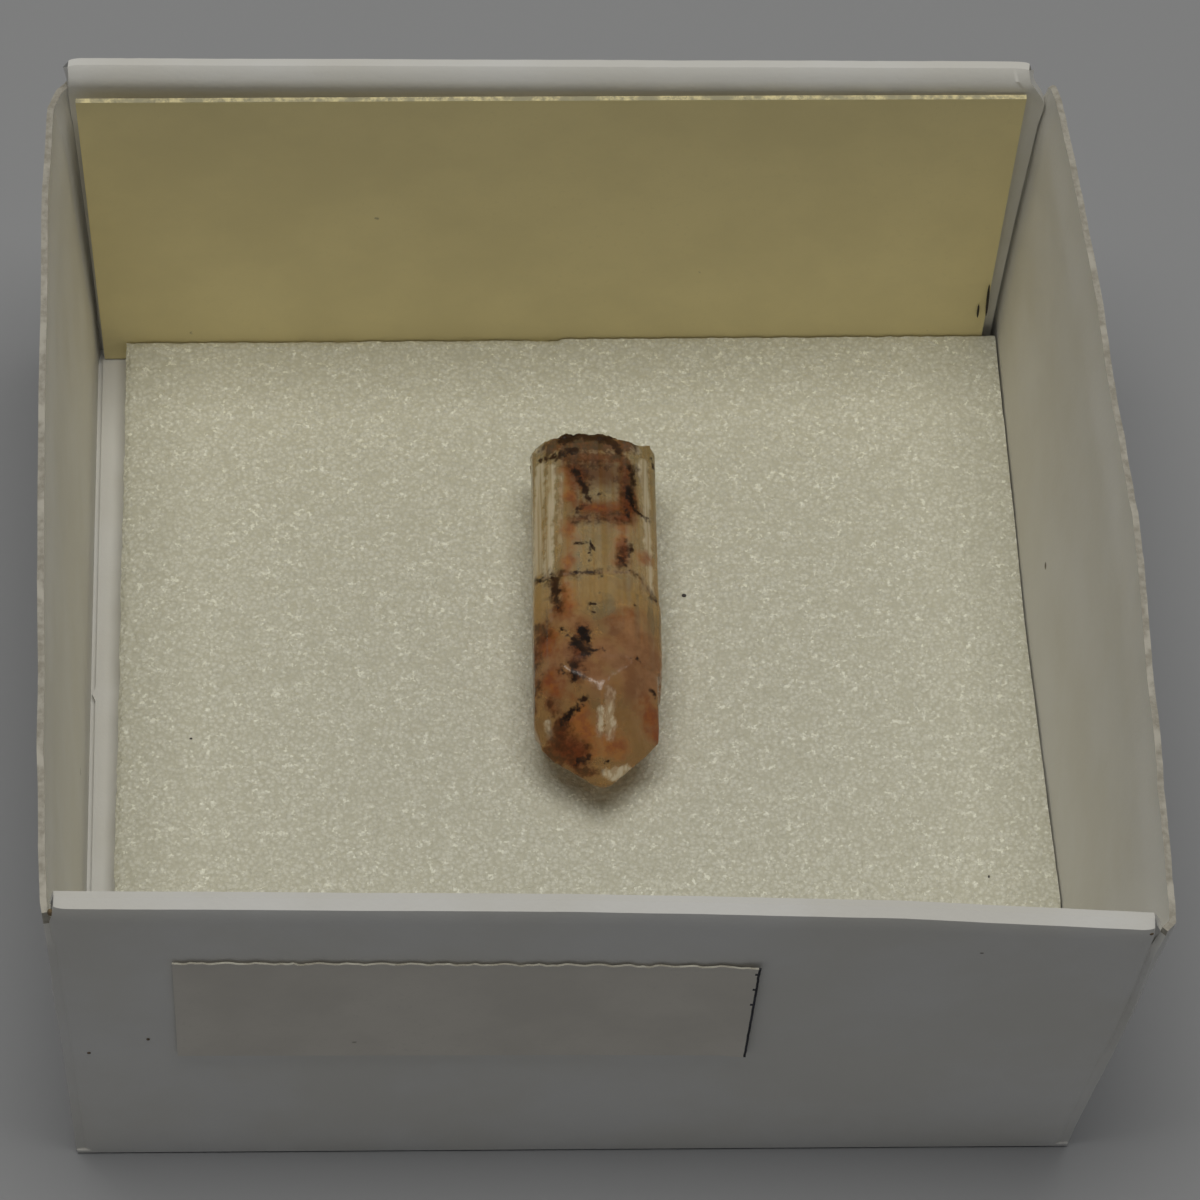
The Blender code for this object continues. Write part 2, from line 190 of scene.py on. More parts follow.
# Black-brown iron crusts and specks on the crystal: strokes from x, y to x, y with a half-width
IRON_STROKES = (
    (-1.00, 9.68, -0.43, 9.56, 0.09),
    (-0.43, 9.56, 0.46, 9.83, 0.12),
    (-0.05, 10.36, 0.79, 10.61, 0.20),
    (0.79, 10.61, 1.94, 10.31, 0.22),
    (1.94, 10.31, 2.30, 9.74, 0.13),
    (0.50, 8.81, 0.65, 8.29, 0.14),
    (0.80, 8.02, 1.00, 7.27, 0.11),
    (0.89, 7.14, 0.41, 6.67, 0.07),
    (1.42, 7.54, 1.79, 7.62, 0.04),
    (2.75, 8.94, 2.90, 8.23, 0.08),
    (2.68, 7.91, 2.82, 7.08, 0.12),
    (2.92, 6.87, 3.55, 6.59, 0.05),
    (2.50, 6.80, 2.65, 6.54, 0.07),
    (0.39, 5.15, 0.86, 5.17, 0.05),
    (1.00, 5.27, 1.17, 4.89, 0.08),
    (1.03, 4.77, 0.95, 4.28, 0.06),
    (2.52, 5.24, 2.78, 5.07, 0.05),
    (2.73, 4.92, 2.61, 4.55, 0.07),
    (2.14, 4.38, 2.45, 4.31, 0.06),
    (2.45, 4.19, 2.55, 3.87, 0.04),
    (0.26, 3.68, 1.20, 3.72, 0.03),
    (-1.18, 3.82, -0.67, 3.53, 0.02),
    (-0.51, 3.63, -0.42, 2.83, 0.13),
    (-0.42, 2.52, -0.38, 2.01, 0.05),
    (1.39, 3.41, 1.45, 3.44, 0.07),
    (1.37, 2.67, 1.39, 2.67, 0.04),
    (0.96, 2.13, 1.37, 1.99, 0.04),
    (1.37, 1.99, 1.49, 1.80, 0.03),
    (1.01, 1.72, 1.08, 1.71, 0.05),
    (2.77, 2.06, 2.82, 2.06, 0.03),
    (3.47, 2.75, 3.74, 2.80, 0.04),
    (0.63, 0.82, 0.83, 0.31, 0.18),
    (0.31, 0.33, 0.72, -0.17, 0.20),
    (0.77, 0.01, 0.98, -0.18, 0.10),
    (0.14, -0.74, 0.29, -1.42, 0.11),
    (0.49, -1.35, 0.75, -1.48, 0.05),
    (-0.24, 0.87, 0.01, 0.70, 0.08),
    (1.13, -0.18, 1.44, -0.12, 0.03),
    (-0.32, -0.94, -0.22, -1.14, 0.05),
    (0.69, -2.25, -0.23, -2.88, 0.11),
    (0.37, -4.37, 0.88, -4.38, 0.09),
    (1.49, -4.64, 1.54, -4.61, 0.08),
    (3.49, -1.59, 3.59, -1.66, 0.07),
    (2.88, -0.52, 2.90, -0.54, 0.03),
    (2.62, -0.51, 2.63, -0.54, 0.03),
    (3.68, 9.91, 3.75, 9.46, 0.04),
)
# Dark red-brown stains that let a little light through
UMBER_STROKES = (
    (-0.47, 10.14, 2.57, 10.07, 0.41),
    (0.04, 9.52, 2.34, 9.37, 0.33),
    (0.45, 9.07, 0.70, 8.03, 0.27),
    (2.60, 9.18, 2.72, 7.04, 0.27),
    (0.41, 6.36, 2.55, 6.40, 0.14),
    (-0.20, 10.45, 1.90, 10.40, 0.40),
    (2.30, 9.60, 2.60, 8.90, 0.30),
    (-0.51, 3.44, -0.43, 2.04, 0.20),
    (-1.11, 1.41, -1.03, 0.73, 0.24),
    (-1.34, 0.57, -1.37, -2.26, 0.12),
    (0.55, 0.71, 0.51, -0.26, 0.31),
    (0.20, -0.63, 0.39, -1.35, 0.18),
    (-0.55, -3.75, 0.27, -4.22, 0.49),
    (-0.34, -2.99, -0.44, -3.86, 0.27),
    (-0.74, -2.16, -0.54, -2.51, 0.14),
    (0.27, -4.70, 0.98, -4.97, 0.20),
    (2.47, 4.93, 2.30, 4.17, 0.16),
    (-1.30, 3.70, 0.60, 3.66, 0.03),
    (0.60, 3.66, 2.90, 3.72, 0.04),
    (2.90, 3.72, 3.70, 2.70, 0.03),
)
# Orange and red rust along the joints
RUST_STROKES = (
    (0.08, 8.82, 0.33, 7.66, 0.16),
    (0.18, 6.05, 0.26, 4.79, 0.12),
    (0.23, 4.80, -0.07, 3.56, 0.16),
    (-0.10, 3.31, 0.05, 2.07, 0.20),
    (2.30, 6.29, 2.42, 5.31, 0.13),
    (2.39, 5.31, 2.35, 4.30, 0.20),
    (2.57, 7.42, 2.62, 6.29, 0.22),
    (3.11, 4.69, 3.24, 4.49, 0.06),
    (1.88, 1.54, 2.21, 1.52, 0.22),
    (0.58, -2.90, 0.68, -3.72, 0.35),
    (-0.13, -3.38, 0.58, -4.05, 0.39),
    (3.41, -2.20, 3.58, -3.06, 0.20),
    (1.60, -4.03, 2.17, -3.85, 0.22),
    (-0.78, -1.39, -0.43, -1.82, 0.22),
    (-0.91, 0.67, -0.82, -0.03, 0.20),
    (0.73, 6.90, 2.30, 6.91, 0.16),
)
# Dusky rose zones inside the stone
MAUVE_STROKES = (
    (0.97, 8.65, 2.22, 8.40, 0.51),
    (0.73, 6.90, 2.50, 6.68, 0.36),
    (2.39, 1.08, 3.39, -1.03, 0.82),
    (1.54, -0.18, 2.97, -1.59, 0.61),
    (-0.72, 0.05, -0.43, -1.64, 0.46),
    (3.28, -1.78, 3.50, -3.08, 0.33),
    (-0.10, -0.14, 1.31, -1.65, 0.51),
    (-0.18, 1.58, 0.64, 1.07, 0.31),
)
# Whitish hazy streaks, mostly along the striations; the two down the middle of the point, at y -2 to -3.6,
# paint the highlight on its ridge
MILK_AND_PAINTED_SHEEN_STROKES = (
    (-1.00, 9.31, -1.17, 4.17, 0.19),
    (-0.52, 9.07, -0.75, 3.76, 0.16),
    (-0.16, 8.56, -0.28, 4.36, 0.06),
    (3.36, 9.45, 3.48, 3.12, 0.16),
    (3.14, 9.19, 3.17, 8.73, 0.12),
    (1.72, -2.07, 1.71, -3.60, 0.20),
    (1.32, -2.77, 1.31, -3.57, 0.14),
    (-0.85, -2.80, -0.75, -3.27, 0.12),
    (-0.64, 1.98, -0.63, 1.49, 0.06),
    (2.62, 10.04, 3.04, 9.94, 0.16),
    (1.59, -5.06, 2.48, -4.68, 0.20),
    (-1.15, 10.30, -0.58, 9.96, 0.09),
)

# Camera, fitted to the tray's corners in the photograph
LENS = 222.84
CAMERA_AT = (-6.036, -164.674, 264.161)
CAMERA_PITCH = 57.033
CAMERA_YAW = 2.543
CAMERA_ROLL = 1.835
SENSOR_WIDTH = 36.0

# Floor and light, in metres and watts
FLOOR_HALF = 1.5
FLOOR_DROP = 0.0001
SKY_COLOUR = (0.92, 0.95, 1.0, 1.0)
SKY_STRENGTH = 0.085
LAMP_AT = (0.0, 0.012, 0.50)
LAMP_SIZE = (0.36, 0.24)
LAMP_POWER = 1.24
LAMP_COLOUR = (1.0, 0.985, 0.93)


def mm(*values):
    return Vector(values) * MM


def lerp(pair, share):
    return pair[0] + (pair[1] - pair[0]) * share


def smoothstep(low, high, value):
    share = min(max((value - low) / (high - low), 0.0), 1.0)
    return share * share * (3.0 - 2.0 * share)


# Node helpers


def add(tree, kind, **settings):
    """A node with its properties and inputs set; a value may be another node's output."""
    node = tree.nodes.new(kind)
    for name, value in settings.items():
        if hasattr(node, name) and name not in node.inputs:
            setattr(node, name, value)
            continue
        key = int(name[1:]) if name[0] == "i" and name[1:].isdigit() else name.replace("_", " ")
        socket = node.inputs[key]
        if isinstance(value, bpy.types.NodeSocket):
            tree.links.new(value, socket)
        else:
            socket.default_value = value
    return node


def new_material(name):
    made = bpy.data.materials.new(name)
    made.use_nodes = True
    tree = made.node_tree
    shader = tree.nodes["Principled BSDF"]
    place = add(tree, "ShaderNodeTexCoord").outputs["Object"]
    return made, tree, shader, place


def fractal(tree, place, scale, detail, roughness=0.55):
    node = add(tree, "ShaderNodeTexNoise", Vector=place, Scale=scale, Detail=detail,
               Roughness=roughness)
    return node.outputs["Fac"]


def cells(tree, place, scale):
    node = add(tree, "ShaderNodeTexVoronoi", Vector=place, Scale=scale)
    return node.outputs["Distance"]


def ramp(tree, value, low, high, to_low=0.0, to_high=1.0):
    """A soft step: to_low where the value is low, to_high where it is high."""
    node = add(tree, "ShaderNodeMapRange", interpolation_type="SMOOTHSTEP", Value=value,
               From_Min=low, From_Max=high, To_Min=to_low, To_Max=to_high)
    return node.outputs["Result"]


def mix(tree, share, first, second):
    node = tree.nodes.new("ShaderNodeMix")
    node.data_type = "RGBA"
    for index, value in ((0, share), (6, first), (7, second)):
        if isinstance(value, bpy.types.NodeSocket):
            tree.links.new(value, node.inputs[index])
        elif index:
            node.inputs[index].default_value = (*value, 1.0)
        else:
            node.inputs[index].default_value = value
    return node.outputs[2]


def math_node(tree, operation, first, second):
    node = add(tree, "ShaderNodeMath", operation=operation, i0=first, i1=second)
    return node.outputs["Value"]


def bump(tree, height, depth, strength=1.0, under=None):
    """Relief of a height from 0 to 1, with its depth in millimetres."""
    node = add(tree, "ShaderNodeBump", Height=height, Distance=depth * MM, Strength=strength)
    if under is not None:
        tree.links.new(under, node.inputs["Normal"])
    return node.outputs["Normal"]


# Finishes


def card_finish():
    """White-lined card: faint mottling, fine fibres and a few dark specks."""
    settings = bpy.context.scene.topaz_tray
    made, tree, shader, place = new_material("white card")
    mottle = ramp(tree, fractal(tree, place, 160.0, 3.0), 0.35, 0.7)
    white = tuple(settings.card_colour)
    worn = tuple(part * shade for part, shade in zip(white, (0.95, 0.94, 0.91)))
    colour = mix(tree, mottle, worn, white)
    specks = ramp(tree, cells(tree, place, 260.0), 0.05, 0.035)
    rare = ramp(tree, fractal(tree, place, 330.0, 2.0), 0.63, 0.68)
    speck = math_node(tree, "MULTIPLY", specks, rare)
    tree.links.new(mix(tree, speck, colour, CARD_SPECK), shader.inputs["Base Color"])
    fibres = fractal(tree, place, 4200.0, 2.0, 0.7)
    soft = fractal(tree, place, 420.0, 1.0)
    relief = bump(tree, fibres, 0.012, 0.8)
    tree.links.new(bump(tree, soft, 0.05, 0.5, relief), shader.inputs["Normal"])
    tree.links.new(ramp(tree, fibres, 0.2, 0.8, 0.50, 0.66), shader.inputs["Roughness"])
    shader.inputs["Specular IOR Level"].default_value = 0.3
    return made


def cut_edge_finish(name, colour, dark):
    """The raw core that shows along a cut edge; the same finish also colours dirt, nicks and the painted
    shadow at the sticker's right end.
    """
    made, tree, shader, place = new_material(name)
    fibres = fractal(tree, place, 2600.0, 3.0, 0.7)
    patches = ramp(tree, fractal(tree, place, 700.0, 3.0), 0.50, 0.62)
    shade = mix(tree, ramp(tree, fibres, 0.3, 0.7), dark, colour)
    pale = tuple(min(part * 1.12, 1.0) for part in colour)
    tree.links.new(mix(tree, patches, shade, pale), shader.inputs["Base Color"])
    tree.links.new(bump(tree, fibres, 0.05), shader.inputs["Normal"])
    shader.inputs["Roughness"].default_value = 0.85
    return made


def foam_finish():
    """Thin closed-cell foam: fine pale cells, some of which carry a painted glint, a brighter colour with
    lower roughness.
    """
    settings = bpy.context.scene.topaz_tray
    made, tree, shader, place = new_material("white foam")
    white = tuple(settings.foam_colour)
    deep = tuple(part * shade for part, shade in zip(white, (0.80, 0.79, 0.74)))
    painted_glint_white = tuple(min(part * 1.28, 1.0) for part in white)
    wander = add(tree, "ShaderNodeTexNoise", Vector=place, Scale=2500.0, Detail=2.0).outputs["Color"]
    nudge = add(tree, "ShaderNodeVectorMath", operation="SCALE", i0=wander, Scale=0.00012).outputs["Vector"]
    shaken = add(tree, "ShaderNodeVectorMath", operation="ADD", i0=place, i1=nudge).outputs["Vector"]
    cell = cells(tree, shaken, 5600.0)
    grain = fractal(tree, place, 6400.0, 2.0, 0.65)
    cloud = fractal(tree, place, 1100.0, 3.0, 0.6)
    colour = mix(tree, ramp(tree, cell, 0.15, 0.8), white, deep)
    colour = mix(tree, ramp(tree, grain, 0.50, 0.34, 0.0, 0.75), colour, deep)
    colour = mix(tree, ramp(tree, cloud, 0.50, 0.30, 0.0, 0.5), colour, deep)
    # Painted highlight: scattered cells are painted brighter as glints, and the same mask lowers their
    # roughness
    painted_glint_noise = fractal(tree, place, 4000.0, 3.0, 0.7)
    painted_glint_and_gloss = math_node(tree, "MULTIPLY", ramp(tree, painted_glint_noise, 0.56, 0.66), ramp(tree, cloud, 0.36, 0.56))
    colour = mix(tree, painted_glint_and_gloss, colour, painted_glint_white)
    tree.links.new(colour, shader.inputs["Base Color"])
    relief = bump(tree, cell, 0.06, 0.9)
    relief = bump(tree, cloud, 0.14, 0.7, relief)
    tree.links.new(bump(tree, grain, 0.05, 0.8, relief), shader.inputs["Normal"])
    tree.links.new(ramp(tree, painted_glint_and_gloss, 0.0, 1.0, 0.62, 0.30), shader.inputs["Roughness"])
    shader.inputs["Specular IOR Level"].default_value = 0.4
    return made


def paper_finish(name, colour, cloudiness, specks):
    """Uncoated paper with fibres, a little unevenness and a few specks."""
    made, tree, shader, place = new_material(name)
    fibres = fractal(tree, place, 3800.0, 3.0, 0.65)
    cloud = ramp(tree, fractal(tree, place, 230.0, 4.0), 0.3, 0.7)
    deep = tuple(part * (1.0 - cloudiness) for part in colour)
    tint = mix(tree, cloud, deep, colour)
    tint = mix(tree, ramp(tree, fibres, 0.42, 0.30, 0.0, 0.5), tint, deep)
    dot = ramp(tree, cells(tree, place, 700.0), 0.09, 0.05)
    rare = ramp(tree, fractal(tree, place, 900.0, 2.0), 0.60, 0.64)
    share = math_node(tree, "MULTIPLY", math_node(tree, "MULTIPLY", dot, rare), specks)
    tree.links.new(mix(tree, share, tint, PAPER_SPECK), shader.inputs["Base Color"])
    tree.links.new(bump(tree, fibres, 0.012, 0.7), shader.inputs["Normal"])
    shader.inputs["Roughness"].default_value = 0.65
    shader.inputs["Specular IOR Level"].default_value = 0.25
    return made


def topaz_finish():
    """Hazy champagne topaz with rust, umber and iron stains over its striated faces."""
    settings = bpy.context.scene.topaz_tray
    made, tree, shader, place = new_material("topaz")
    ragged = fractal(tree, place, 2400.0, 6.0, 0.68)
    broad = fractal(tree, place, 1000.0, 5.0, 0.62)
    stretched = add(tree, "ShaderNodeMapping", Vector=place, Scale=(1.0, 0.03, 1.0)).outputs["Vector"]
    striae = fractal(tree, stretched, 5200.0, 4.0, 0.6)

    def zone(name, wander, amount, outer, inner):
        """Cover from 0 to 1 of a stain, its edge shifted by a noise."""
        gap = add(tree, "ShaderNodeAttribute", attribute_name=name).outputs["Fac"]
        shift = math_node(tree, "MULTIPLY", math_node(tree, "SUBTRACT", wander, 0.5), amount)
        return ramp(tree, math_node(tree, "ADD", gap, shift), outer, inner)

    dendrites = fractal(tree, place, 4400.0, 7.0, 0.72)
    iron = zone("iron", dendrites, 0.95, 0.085, -0.055)
    umber = zone("umber", ragged, 1.4, 0.34, -0.16)
    rust = zone("rust", broad, 1.6, 0.50, -0.20)
    mauve = zone("mauve", broad, 1.6, 0.80, -0.40)
    streaks = ramp(tree, striae, 0.42, 0.58, 0.5, 1.0)
    # Whitish haze along the striations, and a painted highlight down the point's ridge
    milk_and_painted_sheen = math_node(tree, "MULTIPLY", zone("milk_and_painted_sheen", ragged, 0.6, 0.10, -0.08), streaks)
    along = add(tree, "ShaderNodeSeparateXYZ", Vector=place).outputs["Y"]
    drift = math_node(tree, "ADD", along, math_node(tree, "MULTIPLY", broad, 0.003))
    root = ramp(tree, drift, 0.0068, 0.0088)
    drift = math_node(tree, "ADD", along, math_node(tree, "MULTIPLY", broad, 0.004))
    lower = ramp(tree, drift, 0.0066, 0.0022)
    clear = mix(tree, ramp(tree, striae, 0.35, 0.65), *CLEAR_AT_ROOT)
    clear = mix(tree, lower, clear, tuple(settings.topaz_colour))
    colour = mix(tree, milk_and_painted_sheen, clear, MILK_AND_PAINTED_SHEEN)
    rosy = mix(tree, ramp(tree, broad, 0.38, 0.62), DEEP_ROSE, tuple(settings.mauve_colour))
    rosy = mix(tree, root, rosy, ROOT_BROWN)
    colour = mix(tree, math_node(tree, "MULTIPLY", mauve, 0.85), colour, rosy)
    rusty = mix(tree, ramp(tree, ragged, 0.40, 0.60), tuple(settings.rust_colour), RED_RUST)
    colour = mix(tree, math_node(tree, "MULTIPLY", rust, 0.85), colour, rusty)
    earthy = mix(tree, ramp(tree, ragged, 0.38, 0.62), DARK_EARTH, tuple(settings.umber_colour))
    colour = mix(tree, math_node(tree, "MULTIPLY", umber, 0.9), colour, earthy)
    black = mix(tree, ramp(tree, broad, 0.35, 0.65), *IRON_BLACK)
    tree.links.new(mix(tree, iron, colour, black), shader.inputs["Base Color"])
    opaque = math_node(tree, "MULTIPLY", iron, 0.97)
    for cover, weight in ((umber, 0.66), (rust, 0.42), (mauve, 0.34), (milk_and_painted_sheen, 0.42)):
        opaque = math_node(tree, "MAXIMUM", opaque, math_node(tree, "MULTIPLY", cover, weight))
    clearness = math_node(tree, "MULTIPLY", math_node(tree, "SUBTRACT", 1.0, opaque), settings.clearness)
    tree.links.new(clearness, shader.inputs["Transmission Weight"])
    relief = bump(tree, striae, 0.025, 0.5)
    tree.links.new(bump(tree, broad, 0.06, 0.3, relief), shader.inputs["Normal"])
    dull = math_node(tree, "MAXIMUM", iron, math_node(tree, "MULTIPLY", umber, 0.8))
    dull = math_node(tree, "MAXIMUM", dull, math_node(tree, "MULTIPLY", rust, 0.5))
    tree.links.new(ramp(tree, dull, 0.0, 1.0, 0.19, 0.28), shader.inputs["Roughness"])
    shader.inputs["Specular IOR Level"].default_value = 0.2
    shader.inputs["IOR"].default_value = STONE_IOR
    inside = tree.nodes.new("ShaderNodeVolumeAbsorption")
    inside.inputs["Color"].default_value = STONE_TINT
    inside.inputs["Density"].default_value = STONE_DENSITY
    tree.links.new(inside.outputs["Volume"], tree.nodes["Material Output"].inputs["Volume"])
    return made


def floor_finish():
    made, tree, shader, place = new_material("pale floor")
    pale = tuple(bpy.context.scene.topaz_tray.floor_colour)
    near = tuple(part * 0.97 for part in pale)
    tree.links.new(mix(tree, fractal(tree, place, 30.0, 3.0), near, pale), shader.inputs["Base Color"])
    shader.inputs["Roughness"].default_value = 0.7
    return made


# Shapes


def grid(columns, rows, shape):
    """A grid of quads, with shape(u, v) giving each corner's place in millimetres."""
    bm = bmesh.new()
    bmesh.ops.create_grid(bm, x_segments=columns, y_segments=rows, size=0.5)
    for vert in bm.verts:
        vert.co = mm(*shape(vert.co.x + 0.5, vert.co.y + 0.5))
    return bm


def thing(name, bm, *materials):
    mesh = bpy.data.meshes.new(name)
    bm.to_mesh(mesh)
    bm.free()
    made = bpy.data.objects.new(name, mesh)
    bpy.context.scene.collection.objects.link(made)
    for finish in materials:
        mesh.materials.append(finish)
    return made


def solidified(name, bm, thick, finish, rim):
    """Give a sheet its thickness, with the cut edge's finish around its rim."""
    made = thing(name, bm, finish, rim)
    shell = made.modifiers.new("thickness", "SOLIDIFY")
    shell.thickness = thick * MM
    shell.offset = -1.0
    shell.material_offset_rim = 1
    return made


def bits(name, places, finish):
    """Small flattened grains, each at its place with its half-sizes."""
    bm = bmesh.new()
    for place, halves in places:
        turn = Matrix.LocRotScale(mm(*place), None, mm(*halves))
        bmesh.ops.create_icosphere(bm, subdivisions=2, radius=1.0, matrix=turn)
    return thing(name, bm, finish)


def settle(made):
    """Apply an object's modifiers to its mesh."""
    evaluated = made.evaluated_get(bpy.context.evaluated_depsgraph_get())
    result = bpy.data.meshes.new_from_object(evaluated)
    made.modifiers.clear()
    made.data = result
    return made


def join(name, parts):
    """One object from several, keeping their materials."""
    bm = bmesh.new()
    finishes = []
    for part in parts:
        settle(part)
        offset = []
        for finish in part.data.materials:
            if finish not in finishes:
                finishes.append(finish)
            offset.append(finishes.index(finish))
        for polygon in part.data.polygons:
            polygon.material_index = offset[polygon.material_index]
        bm.from_mesh(part.data)
    for part in parts:
        bpy.data.objects.remove(part, do_unlink=True)
    bmesh.ops.recalc_face_normals(bm, faces=bm.faces)
    return thing(name, bm, *finishes)


def smooth(made, angle):
    made.data.shade_smooth()
    made.data.set_sharp_from_angle(angle=math.radians(angle))


def claim(made, node):
    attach(made, BODY)
    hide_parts(node)


def along_rows(rows, place):
    """What a row table gives at a place, between the rows on either side."""
    for first, second in zip(rows, rows[1:]):
        if place <= second[0]:
            share = max((place - first[0]) / (second[0] - first[0]), 0.0)
            return [low + (high - low) * share for low, high in zip(first[1:], second[1:])]
    return rows[-1][1:]


def stands_out(rows, place, z, power=1.0):
    foot, top, height = along_rows(rows, place)
    return foot + (top - foot) * (max(z, 0.0) / height) ** power


def side_outer(rows, y, z):
    return TRAY_SIDE / 2 + stands_out(rows, y, z, LEAN_POWER)


def front_face_y(x, z):
    return -TRAY_SIDE / 2 - stands_out(FRONT_WALL, x, z)


def back_face_y(x, z):
    return TRAY_SIDE / 2 + stands_out(BACK_WALL, x, z)


def waver(place, size, depth, seed=0.0):
    """A soft random height that is the same on every run."""
    return depth * noise.noise(Vector((place[0] / size + seed, place[1] / size - seed, place[2] / size)))


def toward_ends(u):
    """Bring a grid's columns closer together at both ends."""
    return (1.0 - math.cos(math.pi * u)) / 2


def fold_sheet(rows, face_y, inward, ends_short, slope):
    """One leaf of card up the outer face, over the soft fold and down inside."""
    leaf = bpy.context.scene.topaz_tray.leaf
    radius = FOLD_WALL / 2
    rise = TRAY_HEIGHT - radius - FOOT
    arc = math.pi * radius
    total = 2 * rise + arc

    def shape(u, v):
        way = v * total
        if way < rise:
            depth, level = 0.0, FOOT + way
        elif way < rise + arc:
            turn = (way - rise) / radius
            depth, level = radius - radius * math.cos(turn), TRAY_HEIGHT - radius + radius * math.sin(turn)
        else:
            depth, level = FOLD_WALL, TRAY_HEIGHT - radius - (way - rise - arc)
        tucked = max(level - FOLD_STARTS, 0.0) / (TRAY_HEIGHT - FOLD_STARTS)
        reach = inward * depth * (1.0 - tucked)
        left_side = side_outer(LEFT_WALL, face_y(-TRAY_SIDE / 2, level) + reach, level)
        right_side = side_outer(RIGHT_WALL, face_y(TRAY_SIDE / 2, level) + reach, level)
        left = CORNER_INSET + ends_short[0] * tucked - left_side
        right = right_side - CORNER_INSET - ends_short[1] * tucked
        inside = smoothstep(rise + arc, rise + arc + 2.5, way)
        left += inside * max(leaf + INNER_GAP - left_side - left, 0.0)
        right -= inside * max(right - right_side + leaf + INNER_GAP, 0.0)
        x = lerp((left, right), toward_ends(u))
        z = FOOT + (level - FOOT) * along_rows(rows, x)[2] / TRAY_HEIGHT
        edge = min(max(CORNER_ROUND - min(x - left, right - x), 0.0), CORNER_ROUND)
        rounded = CORNER_ROUND - math.sqrt(CORNER_ROUND ** 2 - edge ** 2)
        rounded *= 1.0 - 0.75 * smoothstep(rise - 2.0, rise - 0.2, way)
        rounded *= 1.0 - smoothstep(rise + 0.3 * arc, rise + 0.8 * arc, way)
        sway = abs(waver((x, 0.0, z), 6.0, 0.05, 3.0)) * smoothstep(0.0, 4.0, z)
        nick = abs(waver((x, 4.0, z), 0.8, 0.02))
        y = face_y(x, z) + inward * (depth + sway * (1.0 - inside) + rounded + 0.02 + nick)
        z -= (0.5 * nick + 0.01) * smoothstep(0.1, 1.0, z)
        return x, y, z - slope * depth / FOLD_WALL * smoothstep(10.0, FOLD_STARTS, level)

    return grid(*FOLD_GRID, shape)


def side_sheet(rows, side):
    """A side wall's outer face, its top edge slightly ragged."""
    half = TRAY_SIDE / 2

    def shape(u, v):
        reach = side * (half + v)
        tuck = CORNER_INSET + 0.38 * smoothstep(0.88, 1.0, v)
        ends = (front_face_y(reach, v * TRAY_HEIGHT) + tuck, back_face_y(reach, v * TRAY_HEIGHT) - tuck)
        y = lerp(ends, toward_ends(u))
        ragged = abs(waver((y, side * 5.0, 0.0), 0.4, 0.10)) + abs(waver((y, side * 9.0, 2.0), 2.2, 0.12))
        z = FOOT + (along_rows(rows, y)[2] - FOOT) * v - ragged * smoothstep(0.93, 1.0, v)
        bow = abs(waver((y, z, side), 6.0, 0.10)) * smoothstep(0.0, 0.2, v)
        return side * (side_outer(rows, y, z) - bow), y, z

    return grid(*SIDE_GRID, shape)


class TopazTraySettings(bpy.types.PropertyGroup):
    """Colours and sizes that a user would change."""

    card_colour: FloatVectorProperty(
        name="Card", description="White face of the tray's card", subtype="COLOR", min=0.0, max=1.0,
        default=(0.84, 0.83, 0.80))
    foam_colour: FloatVectorProperty(
        name="Foam", description="Colour of the foam pad", subtype="COLOR", min=0.0, max=1.0,
        default=(0.79, 0.775, 0.66))
    paper_colour: FloatVectorProperty(
        name="Name card", description="Cream of the blank name card", subtype="COLOR", min=0.0, max=1.0,
        default=(0.95, 0.83, 0.46))
    sticker_colour: FloatVectorProperty(
        name="Sticker", description="Paper of the blank sticker", subtype="COLOR", min=0.0, max=1.0,
        default=(0.84, 0.79, 0.70))
    topaz_colour: FloatVectorProperty(
        name="Topaz", description="Clear body colour of the stone", subtype="COLOR", min=0.0, max=1.0,
        default=(0.80, 0.51, 0.20))
    mauve_colour: FloatVectorProperty(
        name="Mauve", description="Dusky rose zones in the stone", subtype="COLOR", min=0.0, max=1.0,
        default=(0.52, 0.26, 0.13))
    rust_colour: FloatVectorProperty(
        name="Rust", description="Orange iron stains", subtype="COLOR", min=0.0, max=1.0,
        default=(0.52, 0.17, 0.03))
    umber_colour: FloatVectorProperty(
        name="Umber", description="Dark red-brown stains", subtype="COLOR", min=0.0, max=1.0,
        default=(0.17, 0.040, 0.008))
    floor_colour: FloatVectorProperty(
        name="Floor", description="Pale floor that the tray stands on", subtype="COLOR", min=0.0, max=1.0,
        default=(0.38, 0.385, 0.40))
    clearness: FloatProperty(
        name="Clearness", description="How much light goes through the clean stone", min=0.0, max=1.0,
        default=0.76)
    leaf: FloatProperty(
        name="Card leaf", description="Thickness of one leaf of card, in millimetres", min=0.2, max=0.45,
        default=0.42)
    slices: IntProperty(
        name="Crystal slices", description="How finely the crystal is cut along its length", min=20, max=200,
        default=135)


